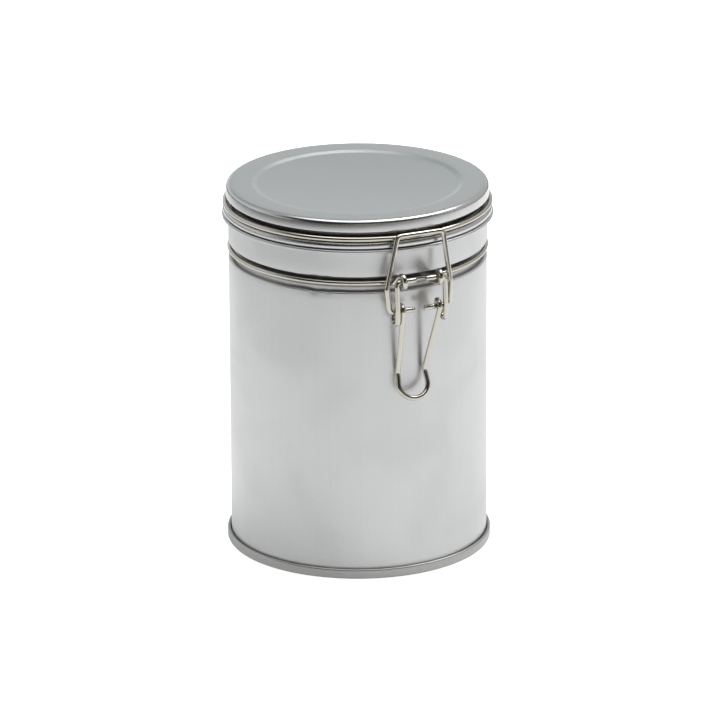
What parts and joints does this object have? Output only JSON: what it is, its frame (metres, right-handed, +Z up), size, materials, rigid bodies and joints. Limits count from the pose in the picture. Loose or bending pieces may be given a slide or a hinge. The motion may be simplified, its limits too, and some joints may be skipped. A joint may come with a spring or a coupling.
{
  "type": "clip-top food canister",
  "caption": "Round sheet-metal storage canister with a hinged lid, a rubber seal and a bent-wire swing clasp that clips the lid down.",
  "frame": {"origin": "centre of the base on the surface it stands on, on the can's axis", "axes": "+Z up along the can's axis, -Y towards the clasp, +Y towards the lid hinge, +X to the right seen from the clasp side"},
  "size_m": [0.1038, 0.1206, 0.1432],
  "materials": {
    "satin_tinplate": "satin, fine vertical grain on the wall",
    "seamed_tinplate": "satin, brighter on the rolled edge",
    "bright_wire": "bright nickel plating",
    "seal_rubber": "matt"
  },
  "bodies": {
    "canister": {"body_shell": "satin_tinplate", "base_end": "seamed_tinplate", "body_hoop": "bright_wire"},
    "lid": {"lid_shell": "satin_tinplate", "lid_gasket": "seal_rubber", "lid_hoop": "bright_wire"},
    "lever": {"lever": "bright_wire"},
    "bail": {"bail": "bright_wire"}
  },
  "joints": [
    {"name": "lid_hinge", "type": "hinge", "parent": "canister", "child": "lid", "pos_m": [0, 0.057, 0.1208], "axis": [-1, 0, 0], "range_deg": [0, 180]},
    {"name": "lever_pivot", "type": "hinge", "parent": "canister", "child": "lever", "pos_m": [0, -0.057, 0.1208], "axis": [-1, 0, 0], "range_deg": [0, 90]},
    {"name": "bail_pivot", "type": "hinge", "parent": "lever", "child": "bail", "pos_m": [0, -0.0556, 0.1088], "axis": [1, 0, 0], "range_deg": [0, 165]}
  ],
  "couplings": [
    {"joint": "lever_pivot", "follows": "lid_hinge", "ratio": 0.5},
    {"joint": "bail_pivot", "follows": "lid_hinge", "ratio": 0.91667}
  ]
}
